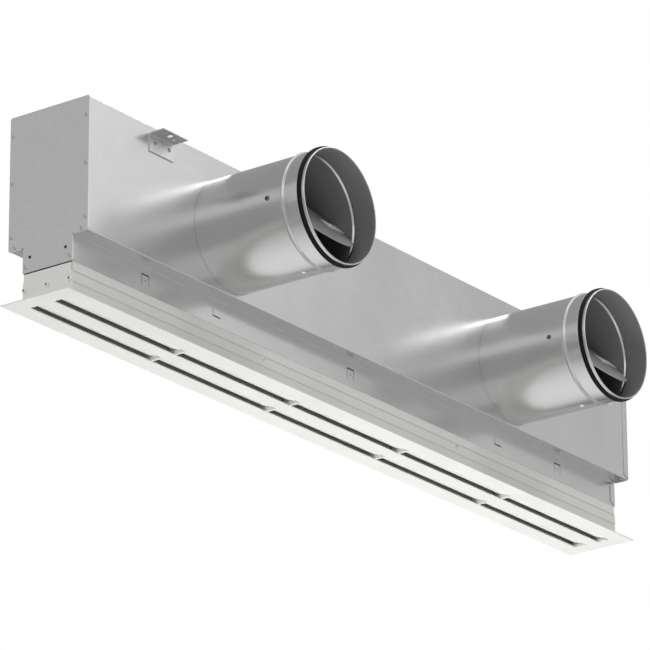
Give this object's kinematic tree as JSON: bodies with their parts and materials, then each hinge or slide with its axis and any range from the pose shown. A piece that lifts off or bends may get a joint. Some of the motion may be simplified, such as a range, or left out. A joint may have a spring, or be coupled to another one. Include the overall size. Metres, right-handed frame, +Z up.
{
  "type": "linear slot diffuser",
  "caption": "Linear slot diffuser with a sheet-steel plenum box, round duct spigots with dampers, hanger brackets and pivoting air vanes in the slots.",
  "frame": {"origin": "centre of the room face of the flange", "axes": "+X along the slots, -Y the side the duct spigots leave, +Z up into the ceiling void"},
  "size_m": [1.2948, 0.336, 0.2721],
  "materials": {
    "galvanised_steel": "smooth zinc coat",
    "rivet_steel": "plain",
    "screw_steel": "zinc plated",
    "painted_aluminium": "matt powder coat",
    "vane_plastic": "matt",
    "seal_rubber": "smooth"
  },
  "bodies": {
    "housing": {"plenum_casing": "galvanised_steel", "hanger_rivets": "rivet_steel", "centre_profile": "painted_aluminium", "end_plate_left": "galvanised_steel", "spigot_left": "galvanised_steel", "tie_bar_left": "galvanised_steel", "end_rivets_left": "rivet_steel", "damper_pivots_left": "rivet_steel", "damper_stop_left": "rivet_steel", "lip_seal_left": "seal_rubber", "end_angle_left": "painted_aluminium", "end_screws_left": "screw_steel", "end_plate_right": "galvanised_steel", "spigot_right": "galvanised_steel", "tie_bar_right": "galvanised_steel", "end_rivets_right": "rivet_steel", "damper_pivots_right": "rivet_steel", "damper_stop_right": "rivet_steel", "lip_seal_right": "seal_rubber", "end_angle_right": "painted_aluminium", "end_screws_right": "screw_steel", "hanger_front_left": "galvanised_steel", "hanger_front_right": "galvanised_steel", "side_profile_front": "painted_aluminium", "side_screws_front": "screw_steel", "web_front_1": "vane_plastic", "web_front_2": "vane_plastic", "web_front_3": "vane_plastic", "web_front_4": "vane_plastic", "hanger_back_left": "galvanised_steel", "hanger_back_right": "galvanised_steel", "side_profile_back": "painted_aluminium", "side_screws_back": "screw_steel", "web_back_1": "vane_plastic", "web_back_2": "vane_plastic", "web_back_3": "vane_plastic", "web_back_4": "vane_plastic"},
    "damper_left": {"damper_blade_left": "galvanised_steel", "damper_strap_left_a": "galvanised_steel", "damper_strap_left_b": "galvanised_steel", "strap_rivets_left": "rivet_steel"},
    "damper_right": {"damper_blade_right": "galvanised_steel", "damper_strap_right_a": "galvanised_steel", "damper_strap_right_b": "galvanised_steel", "strap_rivets_right": "rivet_steel"},
    "vane_front_1": {"vane_front_1": "vane_plastic"},
    "vane_front_2": {"vane_front_2": "vane_plastic"},
    "vane_front_3": {"vane_front_3": "vane_plastic"},
    "vane_front_4": {"vane_front_4": "vane_plastic"},
    "vane_front_5": {"vane_front_5": "vane_plastic"},
    "vane_back_1": {"vane_back_1": "vane_plastic"},
    "vane_back_2": {"vane_back_2": "vane_plastic"},
    "vane_back_3": {"vane_back_3": "vane_plastic"},
    "vane_back_4": {"vane_back_4": "vane_plastic"},
    "vane_back_5": {"vane_back_5": "vane_plastic"}
  },
  "joints": [
    {"name": "damper_left_pivot", "type": "hinge", "parent": "housing", "child": "damper_left", "pos_m": [-0.324, -0.1855, 0.169], "axis": [1, 0, 0], "range_deg": [-44, 46]},
    {"name": "damper_right_pivot", "type": "hinge", "parent": "housing", "child": "damper_right", "pos_m": [0.324, -0.1855, 0.169], "axis": [1, 0, 0], "range_deg": [-44, 46]},
    {"name": "vane_front_1_pivot", "type": "hinge", "parent": "housing", "child": "vane_front_1", "pos_m": [-0.4976, -0.02, 0.0058], "axis": [1, 0, 0], "range_deg": [-40, 0]},
    {"name": "vane_front_2_pivot", "type": "hinge", "parent": "housing", "child": "vane_front_2", "pos_m": [-0.2488, -0.02, 0.0058], "axis": [1, 0, 0], "range_deg": [-40, 0]},
    {"name": "vane_front_3_pivot", "type": "hinge", "parent": "housing", "child": "vane_front_3", "pos_m": [0, -0.02, 0.0058], "axis": [1, 0, 0], "range_deg": [-40, 0]},
    {"name": "vane_front_4_pivot", "type": "hinge", "parent": "housing", "child": "vane_front_4", "pos_m": [0.2488, -0.02, 0.0058], "axis": [1, 0, 0], "range_deg": [-40, 0]},
    {"name": "vane_front_5_pivot", "type": "hinge", "parent": "housing", "child": "vane_front_5", "pos_m": [0.4976, -0.02, 0.0058], "axis": [1, 0, 0], "range_deg": [-40, 0]},
    {"name": "vane_back_1_pivot", "type": "hinge", "parent": "housing", "child": "vane_back_1", "pos_m": [-0.4976, 0.02, 0.0058], "axis": [1, 0, 0], "range_deg": [-40, 0]},
    {"name": "vane_back_2_pivot", "type": "hinge", "parent": "housing", "child": "vane_back_2", "pos_m": [-0.2488, 0.02, 0.0058], "axis": [1, 0, 0], "range_deg": [-40, 0]},
    {"name": "vane_back_3_pivot", "type": "hinge", "parent": "housing", "child": "vane_back_3", "pos_m": [0, 0.02, 0.0058], "axis": [1, 0, 0], "range_deg": [-40, 0]},
    {"name": "vane_back_4_pivot", "type": "hinge", "parent": "housing", "child": "vane_back_4", "pos_m": [0.2488, 0.02, 0.0058], "axis": [1, 0, 0], "range_deg": [-40, 0]},
    {"name": "vane_back_5_pivot", "type": "hinge", "parent": "housing", "child": "vane_back_5", "pos_m": [0.4976, 0.02, 0.0058], "axis": [1, 0, 0], "range_deg": [-40, 0]}
  ]
}
